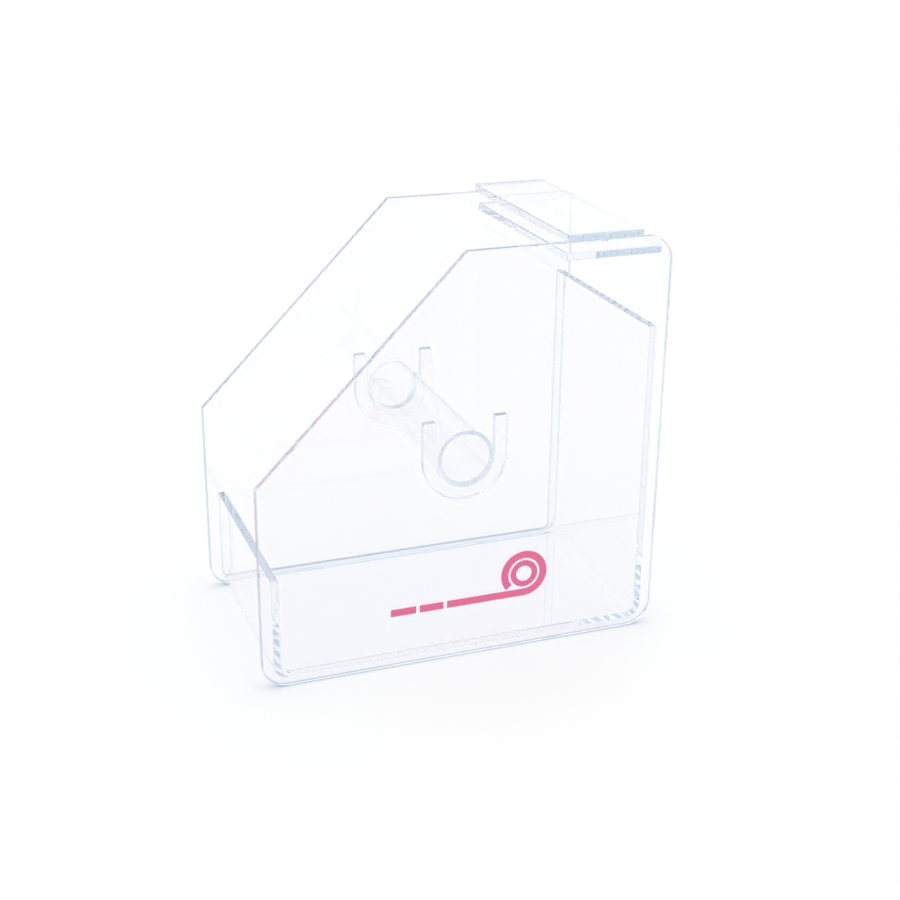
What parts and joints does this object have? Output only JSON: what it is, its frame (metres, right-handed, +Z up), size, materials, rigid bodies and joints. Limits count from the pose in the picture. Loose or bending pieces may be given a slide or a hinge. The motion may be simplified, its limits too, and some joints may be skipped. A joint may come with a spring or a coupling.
{
  "type": "roll dispenser",
  "caption": "Free-standing clear acrylic dispenser for a roll of waxing strips, with a lift-out spindle tube in U-shaped cradles and a tear-off slot at the top rear.",
  "frame": {"origin": "on the table, under the middle of the side panels: centre of the underside of the bounding box", "axes": "+X from the open front with the low lip to the rear wall, +Y from the printed panel to the other one, along the spindle, +Z up"},
  "size_m": [0.16, 0.091, 0.163],
  "materials": {
    "clear_acrylic_sheet": "clear cast acrylic sheet, polished edges",
    "clear_acrylic_tube": "clear extruded acrylic tube",
    "pink_screen_print": "satin screen-printed ink film, 0.05 mm"
  },
  "bodies": {
    "housing": {"near_side_panel": "clear_acrylic_sheet", "far_side_panel": "clear_acrylic_sheet", "bent_tray": "clear_acrylic_sheet", "guide_bar": "clear_acrylic_sheet", "tear_bar": "clear_acrylic_sheet", "near_spindle_cradle": "clear_acrylic_sheet", "far_spindle_cradle": "clear_acrylic_sheet"},
    "spindle": {"spindle_tube": "clear_acrylic_tube"}
  },
  "joints": [
    {"name": "spindle_lift", "type": "slide", "parent": "housing", "child": "spindle", "axis": [0, 0, 1], "range_m": [0, 0.1]}
  ]
}
